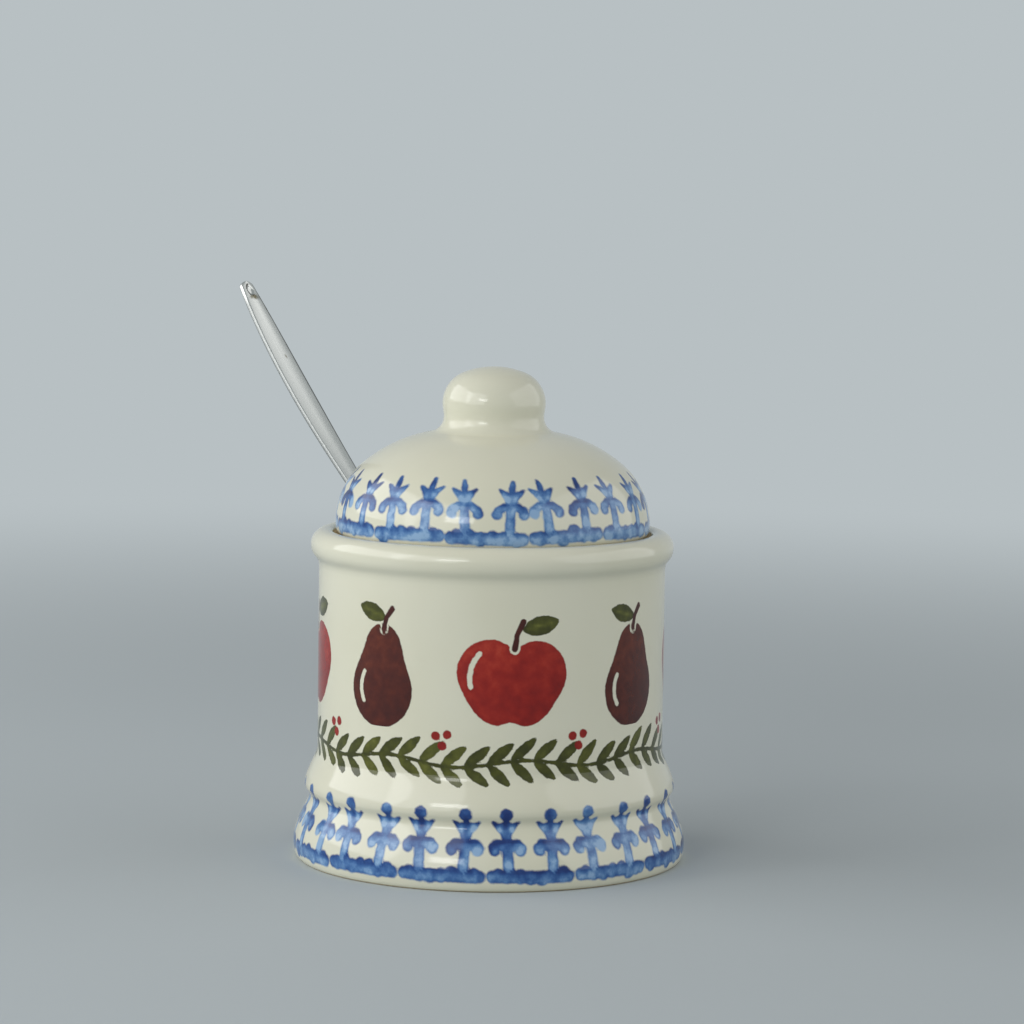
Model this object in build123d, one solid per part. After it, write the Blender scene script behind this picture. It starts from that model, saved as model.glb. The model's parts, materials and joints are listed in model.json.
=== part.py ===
from build123d import *

import os
from math import acos, asin, atan2, cos, degrees, hypot, radians, sin

# Jam pot: a glazed earthenware pot, its domed lid, and a steel spoon that leans out through a notch in the lid.
# Millimetres. +Z is up, and the origin is the centre of the ring that the pot stands on.
# The spoon lies in the XZ plane: its bowl is on the floor towards +X, and its handle leans out over -X.

# Pot, outside, from the foot up
WALL_RADIUS = 42.0
BASE_FLARE = 5.7  # how far the base stands out beyond the wall
FOOT_INSET = 1.3  # how far the standing ring is rounded in from the widest part of the base
BASE_EDGE_HEIGHT = 3.7  # foot to the widest part of the base
FLARE_HEIGHT = 11.6  # widest part of the base up to the waist
WAIST_PROUD = 1.6
BEAD_PROUD = 2.45
BEAD_HEIGHT = 9.2  # waist up to the straight wall
BEAD_CROWN_RISE = 3.8  # waist up to the fullest part of the bead
WALL_HEIGHT = 46.5  # the straight wall between bead and rim
RIM_PROUD = 2.0
RIM_SWELL_HEIGHT = 5.3  # wall up to the fullest part of the rim
RIM_ROLL = 3.6  # radius of the rolled rim, fullest part up to its crest
MOULDING_ROUND = 1.2  # glaze-softened creases either side of the bead

# Pot, inside and underneath
WALL_THICKNESS = 4.5
FLOOR_THICKNESS = 4.3
FLOOR_CORNER = 7.0
FOOT_RING_WIDTH = 5.0
FOOT_RING_DEPTH = 1.2
RIM_WIDTH = 5.4  # outside of the rim in to the edge of the lid's gallery
GALLERY_DEPTH = 0.9  # crest of the rim down to the gallery
GALLERY_WIDTH = 3.0
GALLERY_DROP = 3.5  # height of the mouth's upright edge
GALLERY_SLOPE = 3.0  # height of the slope from the mouth out to the wall
MOUTH_ROUND = 0.6

# Fullness of the turned curves: how far a curve holds its direction at an end, as a share of its width or height
FOOT_OUT = 0.7
FOOT_UP = 0.57
FLARE_UPRIGHT = 0.35
FLARE_LEAN = 0.4
RIM_LOW = 0.5
RIM_HIGH = 0.6
LIP_LEVEL = 0.6
LIP_UPRIGHT = 0.7
LID_EDGE_LOW = 0.1
LID_EDGE_HIGH = 0.4
KNOB_UPRIGHT = 0.4

# Lid
LID_CLEARANCE = 0.54  # widest part of the lid in from the edge of the gallery
LID_EDGE_HEIGHT = 2.7  # seat up to the widest part
LID_EDGE_TUCK = 0.9  # how far the edge rounds in above the seat
SHOULDER_RADIUS = 18.7
SHOULDER_SWEEP = 50.0  # degrees
DOME_RADIUS = 34.7
LID_THICKNESS = 4.0
FLANGE_CLEARANCE = 0.6  # flange in from the mouth
FLANGE_THICKNESS = 3.2
FLANGE_DEPTH = 5.0

# Knob, cast in one with the lid
NECK_RADIUS = 12.15
NECK_FILLET = 3.8
KNOB_RADIUS = 12.5
KNOB_RISE = 3.3  # neck up to the fullest part
KNOB_ROUND = 8.0
KNOB_CROWN_RADIUS = 20.0
KNOB_WALL = 5.0

# Notch in the lid for the spoon
NOTCH_SIDE_GAP = 4.95
NOTCH_HEADROOM = 6.5

# Spoon
SPOON_LENGTH = 170.0
SPOON_GAUGE = 1.5
BOWL_LENGTH = 40.0
BOWL_WIDTH = 26.0
BOWL_DEPTH = 7.0
BOWL_BELLY = 17.0  # tip of the bowl to its deepest point
NECK_WIDTH = 4.6
NECK_LAP = 5.0  # how far the handle runs on over the end of the bowl
HANDLE_WIDTH = 8.2
HANDLE_WIDEST = 33.0  # end of the handle back to its widest place
SHANK_WIDTH = 6.5
SHANK_FROM_END = 58.0  # end of the handle back to the shank, where it starts to widen
HANDLE_END_WIDTH = 3.9
HANDLE_END_SLOPE = 0.18  # how steeply its edges draw in at the end
TURN_UP_LENGTH = 60.0
TURN_UP_RADIUS = 450.0
DIMPLE_LENGTH = 3.4
DIMPLE_WIDTH = 2.0
DIMPLE_DEPTH = 0.5
DIMPLE_FROM_END = 3.4

# How the spoon rests in the pot
BOWL_WALL_GAP = 8.3  # tip of the bowl in from the far wall
REST_GAP = 0.3  # where the spoon bears on the floor and on the edge of the mouth

# Levels, from the foot up
waist_z = BASE_EDGE_HEIGHT + FLARE_HEIGHT
wall_low_z = waist_z + BEAD_HEIGHT
wall_high_z = wall_low_z + WALL_HEIGHT
rim_full_z = wall_high_z + RIM_SWELL_HEIGHT
crest_z = rim_full_z + RIM_ROLL
seat_z = crest_z - GALLERY_DEPTH
floor_z = FOOT_RING_DEPTH + FLOOR_THICKNESS

# Radii
base_radius = WALL_RADIUS + BASE_FLARE
foot_radius = base_radius - FOOT_INSET
waist_radius = WALL_RADIUS + WAIST_PROUD
bead_radius = WALL_RADIUS + BEAD_PROUD
rim_radius = WALL_RADIUS + RIM_PROUD
inner_radius = WALL_RADIUS - WALL_THICKNESS
gallery_radius = rim_radius - RIM_WIDTH
mouth_radius = gallery_radius - GALLERY_WIDTH
lid_radius = gallery_radius - LID_CLEARANCE
flange_radius = mouth_radius - FLANGE_CLEARANCE
flange_bore = flange_radius - FLANGE_THICKNESS

# The spoon stands on the tip of its bowl, and the back of its handle lies on the edge of the mouth.
bowl_tip_reach = inner_radius - BOWL_WALL_GAP
bowl_tip_z = floor_z + REST_GAP
edge_run = mouth_radius + bowl_tip_reach
edge_rise = seat_z - bowl_tip_z
edge_distance = hypot(edge_run, edge_rise)
lean = atan2(edge_run, edge_rise) - asin((SPOON_GAUGE + REST_GAP) / edge_distance)
handle_z_at_lid = bowl_tip_z + (lid_radius + bowl_tip_reach) / sin(lean) * cos(lean)
notch_top_z = handle_z_at_lid + NOTCH_HEADROOM
notch_width = HANDLE_WIDTH + 2 * NOTCH_SIDE_GAP


def turned(outline):
    """A solid of revolution about Z from a closed outline drawn as (radius, height)."""
    return revolve(Plane.XZ * make_face(outline), axis=Axis.Z)


def make_pot():
    wall_foot = (WALL_RADIUS, wall_low_z)
    waist = (waist_radius, waist_z)
    crest = (rim_radius - RIM_ROLL, crest_z)
    gallery_edge = (gallery_radius, seat_z)
    wall_top = seat_z - GALLERY_DROP - GALLERY_SLOPE

    foot_edge = Bezier(
        (foot_radius, 0),
        (foot_radius + FOOT_OUT * FOOT_INSET, 0),
        (base_radius, (1 - FOOT_UP) * BASE_EDGE_HEIGHT),
        (base_radius, BASE_EDGE_HEIGHT),
    )
    flare = Bezier(
        (base_radius, BASE_EDGE_HEIGHT),
        (base_radius, BASE_EDGE_HEIGHT + FLARE_UPRIGHT * FLARE_HEIGHT),
        (waist_radius + FLARE_LEAN * (base_radius - waist_radius), waist_z - FLARE_UPRIGHT * FLARE_HEIGHT),
        waist,
    )
    bead = ThreePointArc(waist, (bead_radius, waist_z + BEAD_CROWN_RISE), wall_foot)
    wall = Line(wall_foot, (WALL_RADIUS, wall_high_z))
    rim_swell = Bezier(
        (WALL_RADIUS, wall_high_z),
        (WALL_RADIUS, wall_high_z + RIM_LOW * RIM_SWELL_HEIGHT),
        (rim_radius, rim_full_z - RIM_HIGH * RIM_SWELL_HEIGHT),
        (rim_radius, rim_full_z),
    )
    rim_roll = CenterArc((rim_radius - RIM_ROLL, rim_full_z), RIM_ROLL, 0, 90)
    lip = Bezier(
        crest,
        (crest[0] - LIP_LEVEL * (crest[0] - gallery_radius), crest_z),
        (gallery_radius, seat_z + LIP_UPRIGHT * GALLERY_DEPTH),
        gallery_edge,
    )
    gallery = Polyline(
        gallery_edge,
        (mouth_radius, seat_z),
        (mouth_radius, seat_z - GALLERY_DROP),
        (inner_radius, wall_top),
        (inner_radius, floor_z),
        (0, floor_z),
        (0, FOOT_RING_DEPTH),
        (foot_radius - FOOT_RING_WIDTH, FOOT_RING_DEPTH),
        (foot_radius - FOOT_RING_WIDTH, 0),
        (foot_radius, 0),
    )
    pot = turned(foot_edge + flare + bead + wall + rim_swell + rim_roll + lip + gallery)

    def circle_at(radius, height):
        """The circular edge of the pot nearest to a radius and a height."""
        circles = pot.edges().filter_by(GeomType.CIRCLE)
        return circles.sort_by(lambda e: hypot(e.radius - radius, e.arc_center.Z - height))[0]

    pot = fillet(circle_at(inner_radius, floor_z), FLOOR_CORNER)
    pot = fillet(circle_at(mouth_radius, seat_z), MOUTH_ROUND)
    pot = fillet(circle_at(*waist), MOULDING_ROUND)
    pot = fillet(circle_at(*wall_foot), MOULDING_ROUND)
    return pot


def make_lid():
    widest_z = seat_z + LID_EDGE_HEIGHT
    edge_radius = lid_radius - LID_EDGE_TUCK
    sweep = radians(SHOULDER_SWEEP)

    # The shoulder's arc runs into the dome's larger one, and that into the neck's fillet.
    shoulder = (lid_radius - SHOULDER_RADIUS, widest_z)
    dome = (
        shoulder[0] + (SHOULDER_RADIUS - DOME_RADIUS) * cos(sweep),
        shoulder[1] + (SHOULDER_RADIUS - DOME_RADIUS) * sin(sweep),
    )
    dome_end = acos((NECK_RADIUS + NECK_FILLET - dome[0]) / (DOME_RADIUS + NECK_FILLET))
    neck_z = dome[1] + (DOME_RADIUS + NECK_FILLET) * sin(dome_end)
    dome_sweep = degrees(dome_end) - SHOULDER_SWEEP

    # The knob's side is an arc that runs into a flatter crown centred on the axis.
    knob_z = neck_z + KNOB_RISE
    knob_sweep = degrees(acos((KNOB_RADIUS - KNOB_ROUND) / (KNOB_CROWN_RADIUS - KNOB_ROUND)))
    crown_z = knob_z - (KNOB_CROWN_RADIUS - KNOB_ROUND) * sin(radians(knob_sweep))
    top_z = crown_z + KNOB_CROWN_RADIUS

    # Inside, the dome follows the outside one wall's thickness in, and opens into the hollow knob.
    hollow_shoulder = SHOULDER_RADIUS - LID_THICKNESS
    hollow_dome = DOME_RADIUS - LID_THICKNESS
    bore_angle = acos((flange_bore - shoulder[0]) / hollow_shoulder)
    bore_top_z = widest_z + hollow_shoulder * sin(bore_angle)
    ceiling_z = dome[1] + hollow_dome
    pit_radius = KNOB_RADIUS - KNOB_WALL
    pit_top_z = top_z - KNOB_WALL

    edge = Bezier(
        (edge_radius, seat_z),
        (lid_radius, seat_z + LID_EDGE_LOW * LID_EDGE_HEIGHT),
        (lid_radius, widest_z - LID_EDGE_HIGH * LID_EDGE_HEIGHT),
        (lid_radius, widest_z),
    )
    outside = (
        edge
        + CenterArc(shoulder, SHOULDER_RADIUS, 0, SHOULDER_SWEEP)
        + CenterArc(dome, DOME_RADIUS, SHOULDER_SWEEP, dome_sweep)
        + CenterArc((NECK_RADIUS + NECK_FILLET, neck_z), NECK_FILLET, 180, degrees(dome_end))
        + Bezier(
            (NECK_RADIUS, neck_z),
            (NECK_RADIUS, neck_z + KNOB_UPRIGHT * KNOB_RISE),
            (KNOB_RADIUS, knob_z - KNOB_UPRIGHT * KNOB_RISE),
            (KNOB_RADIUS, knob_z),
        )
        + CenterArc((KNOB_RADIUS - KNOB_ROUND, knob_z), KNOB_ROUND, 0, knob_sweep)
        + CenterArc((0, crown_z), KNOB_CROWN_RADIUS, knob_sweep, 90 - knob_sweep)
    )
    pit = Polyline((0, top_z), (0, pit_top_z)) + RadiusArc(
        (0, pit_top_z), (pit_radius, pit_top_z - pit_radius), pit_radius
    )
    inside = (
        Polyline((pit_radius, pit_top_z - pit_radius), (pit_radius, ceiling_z), (dome[0], ceiling_z))
        + CenterArc(dome, hollow_dome, SHOULDER_SWEEP, 90 - SHOULDER_SWEEP)
        + CenterArc(shoulder, hollow_shoulder, degrees(bore_angle), SHOULDER_SWEEP - degrees(bore_angle))
        + Polyline(
            (flange_bore, bore_top_z),
            (flange_bore, seat_z - FLANGE_DEPTH),
            (flange_radius, seat_z - FLANGE_DEPTH),
            (flange_radius, seat_z),
            (edge_radius, seat_z),
        )
    )
    lid = turned(outside + pit + inside)

    # The notch is an arch, open at the bottom, through the edge and the flange on the -X side.
    arch_radius = notch_width / 2
    notch_low_z = seat_z - FLANGE_DEPTH
    spring_z = notch_top_z - arch_radius
    arch = make_face(
        Polyline(
            (-arch_radius, spring_z),
            (-arch_radius, notch_low_z),
            (arch_radius, notch_low_z),
            (arch_radius, spring_z),
        )
        + ThreePointArc((arch_radius, spring_z), (0, notch_top_z), (-arch_radius, spring_z))
    )
    return lid - extrude(Plane.YZ * arch, amount=-rim_radius)


def make_spoon():
    """The spoon in its own frame: +X from the tip of the bowl to the handle, +Y out of its front face."""
    half_width = BOWL_WIDTH / 2
    bowl_axis = (half_width**2 - BOWL_DEPTH**2) / (2 * BOWL_DEPTH)

    def bowl_blank(skin):
        """The bowl's outside, or what hollows it when skin is the metal's thickness, turned about a high axis."""
        front_radius = (BOWL_BELLY**2 + BOWL_DEPTH**2) / (2 * BOWL_DEPTH)
        back_run = BOWL_LENGTH - BOWL_BELLY
        back_radius = (back_run**2 + BOWL_DEPTH**2) / (2 * BOWL_DEPTH)
        front_turn = degrees(acos((front_radius - BOWL_DEPTH) / (front_radius - skin)))
        back_turn = degrees(acos((back_radius - BOWL_DEPTH) / (back_radius - skin)))
        front = CenterArc(
            (BOWL_BELLY, front_radius - BOWL_DEPTH), front_radius - skin, 270 - front_turn, front_turn
        )
        back = CenterArc((BOWL_BELLY, back_radius - BOWL_DEPTH), back_radius - skin, 270, back_turn)
        start = front @ 0
        end = back @ 1
        roof = Polyline(end, (end.X, bowl_axis), (start.X, bowl_axis), start)
        return revolve(make_face(front + back + roof), axis=Axis((0, bowl_axis, 0), (1, 0, 0)))

    below_rim = Box(
        2 * BOWL_LENGTH, 4 * BOWL_DEPTH, 2 * BOWL_WIDTH, align=(Align.CENTER, Align.MAX, Align.CENTER)
    )
    bowl = (bowl_blank(0) & below_rim) - bowl_blank(SPOON_GAUGE)

    # From the side, the handle is a strip that runs straight and then turns up gently to its end.
    strip_start = BOWL_LENGTH - NECK_LAP
    turn_start = SPOON_LENGTH - TURN_UP_LENGTH
    turn = degrees(TURN_UP_LENGTH / TURN_UP_RADIUS)
    turn_centre = (turn_start, TURN_UP_RADIUS)
    front = Line((strip_start, 0), (turn_start, 0)) + CenterArc(turn_centre, TURN_UP_RADIUS, 270, turn)
    back = Line((strip_start, -SPOON_GAUGE), (turn_start, -SPOON_GAUGE)) + CenterArc(
        turn_centre, TURN_UP_RADIUS + SPOON_GAUGE, 270, turn
    )
    ends = Line((strip_start, 0), (strip_start, -SPOON_GAUGE)) + Line(front @ 1, back @ 1)
    strip = extrude(make_face(front + back + ends), amount=HANDLE_WIDTH, both=True)

    # From the front, it widens from the neck and draws in again to a round end.
    tip = front @ 1
    end_radius = HANDLE_END_WIDTH / 2
    shank = (tip.X - SHANK_FROM_END, SHANK_WIDTH / 2)
    widest = (tip.X - HANDLE_WIDEST, HANDLE_WIDTH / 2)
    end_start = (tip.X - end_radius, end_radius)
    widening = Spline((strip_start, NECK_WIDTH / 2), shank, widest, tangents=((1, 0), (1, 0)))
    narrowing = Spline(widest, end_start, tangents=((1, 0), (1, -HANDLE_END_SLOPE)))
    edge = widening + narrowing
    round_end = ThreePointArc(end_start, (tip.X, 0), (end_start[0], -end_start[1]))
    neck_line = Line((strip_start, NECK_WIDTH / 2), (strip_start, -NECK_WIDTH / 2))
    plan = make_face(edge + mirror(edge, about=Plane.XZ) + round_end + neck_line)
    handle = strip & extrude(Plane.XZ * plan, amount=TURN_UP_LENGTH, both=True)

    # An oval dimple is pressed into the front face near the end.
    dimple_turn = turn - degrees(DIMPLE_FROM_END / TURN_UP_RADIUS)
    dimple_face = Plane(
        origin=(
            turn_start + TURN_UP_RADIUS * sin(radians(dimple_turn)),
            TURN_UP_RADIUS * (1 - cos(radians(dimple_turn))),
            0,
        ),
        x_dir=(cos(radians(dimple_turn)), sin(radians(dimple_turn)), 0),
        z_dir=(-sin(radians(dimple_turn)), cos(radians(dimple_turn)), 0),
    )
    dimple = extrude(dimple_face * Ellipse(DIMPLE_LENGTH / 2, DIMPLE_WIDTH / 2), amount=DIMPLE_DEPTH, both=True)
    return (bowl + handle) - dimple


def rest_spoon(spoon):
    """The spoon as it stands in the pot, its front face up and inwards."""
    stand = Plane(
        origin=(bowl_tip_reach, 0, bowl_tip_z),
        x_dir=(-sin(lean), 0, cos(lean)),
        z_dir=(0, 1, 0),
    )
    return stand.location * spoon


pieces = {
    "pot": make_pot(),
    "lid": make_lid(),
    "spoon": rest_spoon(make_spoon()),
}

os.makedirs("parts", exist_ok=True)
for name, piece in pieces.items():
    piece.label = name
    export_step(piece, f"parts/{name}.step")

print(f"spoon leans {degrees(lean):.2f} degrees from upright, notch tops out at {notch_top_z:.2f} mm")
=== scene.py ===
import json
from math import acos, atan2, cos, degrees, hypot, pi, radians, sin

import bmesh
import bpy
import numpy as np
from mathutils import Matrix, Vector


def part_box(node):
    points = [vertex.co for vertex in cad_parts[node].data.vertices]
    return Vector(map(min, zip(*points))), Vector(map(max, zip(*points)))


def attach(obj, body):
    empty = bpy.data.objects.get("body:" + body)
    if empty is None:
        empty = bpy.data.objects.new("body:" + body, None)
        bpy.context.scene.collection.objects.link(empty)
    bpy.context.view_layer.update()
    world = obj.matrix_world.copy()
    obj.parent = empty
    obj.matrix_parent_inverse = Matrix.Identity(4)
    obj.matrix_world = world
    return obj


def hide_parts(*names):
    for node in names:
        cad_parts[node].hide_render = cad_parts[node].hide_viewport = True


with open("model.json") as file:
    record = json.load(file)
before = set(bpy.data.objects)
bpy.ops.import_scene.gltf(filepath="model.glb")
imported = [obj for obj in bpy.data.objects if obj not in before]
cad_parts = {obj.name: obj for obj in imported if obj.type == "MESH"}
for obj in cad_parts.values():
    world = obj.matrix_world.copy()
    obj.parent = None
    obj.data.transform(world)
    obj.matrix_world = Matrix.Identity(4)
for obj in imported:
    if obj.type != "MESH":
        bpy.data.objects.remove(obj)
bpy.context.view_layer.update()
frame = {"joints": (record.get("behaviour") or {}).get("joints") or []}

# The looks of the jam pot: a cream-glazed earthenware pot and lid with sponged blue borders and a painted
# fruit band, and the steel spoon that leans out through the lid's notch. Sizes are in millimetres unless a
# comment says otherwise, and meshes are in metres.
MM = 0.001

# Sizes that the frame gives
pot_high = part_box("pot")[1]
lid_low, lid_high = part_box("lid")
spoon_low, spoon_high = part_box("spoon")
BASE_RADIUS = pot_high.x / MM
CREST_Z = pot_high.z / MM
LID_RADIUS = lid_high.x / MM
FLANGE_LOW_Z = lid_low.z / MM
BOWL_TIP = Vector((spoon_high.x, 0, spoon_low.z)) / MM
SPOON_AXIS = Vector(next(joint["axis"] for joint in frame["joints"] if joint["name"] == "spoon_draw"))

# Pot outline, from the foot up
FOOT_RADIUS = 46.4
FOOT_RING_WIDTH = 5.0
FOOT_RING_DEPTH = 1.2
FOOT_RING_ROUND = 0.5
BASE_EDGE_Z = 3.7
WAIST_RADIUS = 43.6
WAIST_Z = 15.3
BEAD_RADIUS = 44.45
BEAD_Z = 19.1
WALL_RADIUS = 42.0
WALL_LOW_Z = 24.5
FRUIT_LOW_Z = 36.0
FRUIT_HIGH_Z = 66.0
WALL_HIGH_Z = 71.0
RIM_RADIUS = 44.0
RIM_FULL_Z = 76.3
RIM_ROLL = 3.6
GALLERY_RADIUS = 38.6
SEAT_Z = 79.0
MOUTH_RADIUS = 35.6
MOUTH_ROUND = 0.8
MOUTH_LOW_Z = 75.5
INNER_RADIUS = 37.5
INNER_TOP_Z = 72.5
FLOOR_CORNER = 7.0
FLOOR_Z = 5.5

# How the pot's curves leave and reach their ends, as shares of the way between them
FOOT_OUT = 0.7
FOOT_UP = 0.57
FLARE_UPRIGHT = 0.35
FLARE_LEAN = 0.4
RIM_LOW = 0.5
RIM_HIGH = 0.6
LIP_LEVEL = 0.6
LIP_UPRIGHT = 0.7

# Lid outline, from the edge up
SEAT_RADIUS = 37.16
LID_EDGE_Z = 81.7
SHOULDER_RADIUS = 18.7
SHOULDER_TURN = 50.0
DOME_RADIUS = 34.7
BORDER_TOP_Z = 97.0
NECK_RADIUS = 12.15
NECK_FILLET = 3.8
KNOB_RADIUS = 12.5
KNOB_RISE = 3.3
KNOB_ROUND = 8.0
KNOB_CROWN = 20.0
LID_WALL = 4.0
KNOB_WALL = 5.0
FLANGE_RADIUS = 35.0
FLANGE_BORE = 31.8
FLANGE_ROUND = 0.8

# How the lid's curves leave and reach their ends, as shares of the way between them
LID_EDGE_LOW = 0.1
LID_EDGE_HIGH = 0.4
KNOB_UPRIGHT = 0.4

# Notch in the lid's edge: an arch for the spoon, how far round its edges are rounded, and the mesh beside it
NOTCH_WIDTH = 18.1
NOTCH_TOP_Z = 91.16
NOTCH_ROUND = 1.1
NOTCH_FLANGE_SHARE = 0.4
NOTCH_REACH = (-60.0, -18.0)
NOTCH_BORDER = 2.0
NOTCH_SPACING = 0.3

# Spoon, measured along its front face from the tip of the bowl
SPOON_GAUGE = 1.5
FRONT_EDGE = (0.3, 0.35)
BACK_EDGE = (0.9, 0.5)
EDGE_DRAFT = 0.05
FACE_CROWN = 0.2
BOWL_LENGTH = 40.0
BOWL_WIDTH = 26.0
BOWL_DEPTH = 7.0
BOWL_BELLY = 17.0
BOWL_RIM_ROUND = 0.5
NECK_AT = 35.0
NECK_WIDTH = 4.6
NECK_BLEND = 0.6
NECK_BLEND_REACH = 8.0
STRIP_FROM = 36.0
STRIP_FULL = 41.0
TURN_UP_AT = 110.0
TURN_UP_LENGTH = 60.0
TURN_UP_RADIUS = 450.0
SPOON_LENGTH = TURN_UP_AT + TURN_UP_RADIUS * sin(TURN_UP_LENGTH / TURN_UP_RADIUS)
SHANK_AT = SPOON_LENGTH - 58.0
SHANK_WIDTH = 6.5
SHANK_SLOPE = 0.043
WIDEST_AT = SPOON_LENGTH - 33.0
HANDLE_WIDTH = 8.2
HANDLE_END_WIDTH = 4.6
HANDLE_END_SLOPE = 0.15
HANDLE_END_DEPTH = 1.5
DIMPLE_AT = SPOON_LENGTH - 2.8
DIMPLE_LENGTH = 2.8
DIMPLE_WIDTH = 2.0
DIMPLE_DEPTH = 0.4
DIMPLE_STEEPNESS = 2.4

# The sheared sides are dull and darkened as painted shade, but not at the end: a distance from the end, how
# dull and shaded, and the slope of that
DULL_SHADED_SIDE = 0.99
BRIGHT_END = (2.5, 0, 0)
DULL_SHADED_FROM = (7.0, 1, 0)

# Tarnish below the dimple, down one edge beside it, and in a spot on the face: how strong it is, its place
# from the end and across, and its reach both ways
TARNISH_PLACES = (
    (1.0, (4.7, 0.3), (0.9, 2.2)),
    (0.8, (7.5, 2.9), (4.5, 0.6)),
    (0.65, (22.5, 0.6), (0.9, 0.5)),
)

# Crescent of painted shade round the dimple, in half-sizes of it, and how it grows towards the end and one
# side
CRESCENT_RADIUS = 1.2
CRESCENT_WIDTH = 0.5
CRESCENT_BELOW = 0.2
CRESCENT_TO_END = 0.7
CRESCENT_TO_SIDE = 1.8

# Mesh spacing along the turned outlines, how often glaze softens their creases, and steps round the axis
FINE = 0.5
CLOSE = 0.7
MIDDLE = 0.85
COARSE = 1.6
BROAD = 8.0
GLAZE_PASSES = 4
POT_STEPS = 560
LID_STEPS = 560

# The spoon's mesh: stations along it, steps round it, the run of a slope, and the angle of a sharp edge
SPOON_STATIONS = 340
SPOON_AROUND = 64
SLOPE_STEP = 0.01
SHARP_ANGLE = 50.0

# Points this close together are one, in metres, and heights this close are level
MERGE = 1e-6
LEVEL = 0.05

# Camera, at the photograph's viewing angle: its turn, pitch, yaw and roll in degrees, and its place in metres
VIEW_TURN = 35.9
CAMERA_DISTANCE = 0.9
CAMERA_HEIGHT = 0.1754
CAMERA_PITCH = 5.786
CAMERA_YAW = 0.296
CAMERA_ROLL = 0.75
CAMERA_NEAR = 0.01
LENS = 131.2
SENSOR = 36.0


# Outlines


def arc(centre, radius, start, end, spacing):
    """Points along an arc given in degrees, with both of its ends."""
    count = max(2, round(abs(radians(end - start)) * radius / spacing))
    turns = [radians(start + (end - start) * step / count) for step in range(count + 1)]
    return [(centre[0] + radius * cos(turn), centre[1] + radius * sin(turn)) for turn in turns]


def arc_through(first, middle, last, spacing):
    """Points along the arc through three points, its middle one anywhere between the ends."""
    to_middle = complex(*middle) - complex(*first)
    to_last = complex(*last) - complex(*first)
    ratio = to_last / to_middle
    offset = to_middle * (ratio - abs(ratio) ** 2) / (2j * ratio.imag)
    centre = complex(*first) - offset
    start = degrees(atan2(offset.imag, offset.real))
    end_offset = complex(*last) - centre
    end = degrees(atan2(end_offset.imag, end_offset.real))
    return arc((centre.real, centre.imag), abs(offset), start, end, spacing)


def curve(first, leaving, arriving, last, spacing):
    """Points along a cubic curve, from its two ends and their handles."""
    count = max(2, round(hypot(last[0] - first[0], last[1] - first[1]) / spacing))
    points = []
    for step in range(count + 1):
        t = step / count
        shares = ((1 - t) ** 3, 3 * t * (1 - t) ** 2, 3 * t**2 * (1 - t), t**3)
        corners = (first, leaving, arriving, last)
        points.append(tuple(sum(share * p[axis] for share, p in zip(shares, corners)) for axis in (0, 1)))
    return points


def line(first, last, spacing):
    """Points along a straight line, with both of its ends."""
    count = max(1, round(hypot(last[0] - first[0], last[1] - first[1]) / spacing))
    run = (last[0] - first[0]) / count
    rise = (last[1] - first[1]) / count
    return [(first[0] + run * step, first[1] + rise * step) for step in range(count + 1)]


def joined(*stretches):
    """One outline from stretches that meet end to end."""
    outline = list(stretches[0])
    for stretch in stretches[1:]:
        outline += stretch[1:]
    return outline


def soften(outline, passes):
    """Rounds the creases of an outline as glaze does, a little more with each pass. The ends stay."""
    points = np.array(outline)
    for _ in range(passes):
        points[1:-1] = points[1:-1] / 2 + (points[:-2] + points[2:]) / 4
    return [tuple(point) for point in points]


def pot_side():
    """The outside of the pot, from the standing ring up to the crest of the rim."""
    base_edge = (BASE_RADIUS, BASE_EDGE_Z)
    waist = (WAIST_RADIUS, WAIST_Z)
    wall_low = (WALL_RADIUS, WALL_LOW_Z)
    wall_high = (WALL_RADIUS, WALL_HIGH_Z)
    rim_full = (RIM_RADIUS, RIM_FULL_Z)
    foot_out = FOOT_RADIUS + FOOT_OUT * (BASE_RADIUS - FOOT_RADIUS)
    foot_up = (1 - FOOT_UP) * BASE_EDGE_Z
    foot = curve((FOOT_RADIUS, 0), (foot_out, 0), (BASE_RADIUS, foot_up), base_edge, FINE)
    upright = FLARE_UPRIGHT * (WAIST_Z - BASE_EDGE_Z)
    lean = FLARE_LEAN * (BASE_RADIUS - WAIST_RADIUS)
    flare_low = (BASE_RADIUS, BASE_EDGE_Z + upright)
    flare_high = (WAIST_RADIUS + lean, WAIST_Z - upright)
    flare = curve(base_edge, flare_low, flare_high, waist, FINE)
    bead = arc_through(waist, (BEAD_RADIUS, BEAD_Z), wall_low, CLOSE)
    garland_wall = line(wall_low, (WALL_RADIUS, FRUIT_LOW_Z), FINE)
    moulded = soften(joined(foot, flare, bead, garland_wall), GLAZE_PASSES)
    fruit_wall = line((WALL_RADIUS, FRUIT_LOW_Z), (WALL_RADIUS, FRUIT_HIGH_Z), CLOSE)
    bare_wall = line((WALL_RADIUS, FRUIT_HIGH_Z), wall_high, COARSE)
    swell = RIM_FULL_Z - WALL_HIGH_Z
    swell_low = (WALL_RADIUS, WALL_HIGH_Z + RIM_LOW * swell)
    swell_high = (RIM_RADIUS, RIM_FULL_Z - RIM_HIGH * swell)
    rim_swell = curve(wall_high, swell_low, swell_high, rim_full, MIDDLE)
    rim_roll = arc((RIM_RADIUS - RIM_ROLL, RIM_FULL_Z), RIM_ROLL, 0, 90, CLOSE)
    return joined(moulded, fruit_wall, bare_wall, rim_swell, rim_roll)


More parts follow.
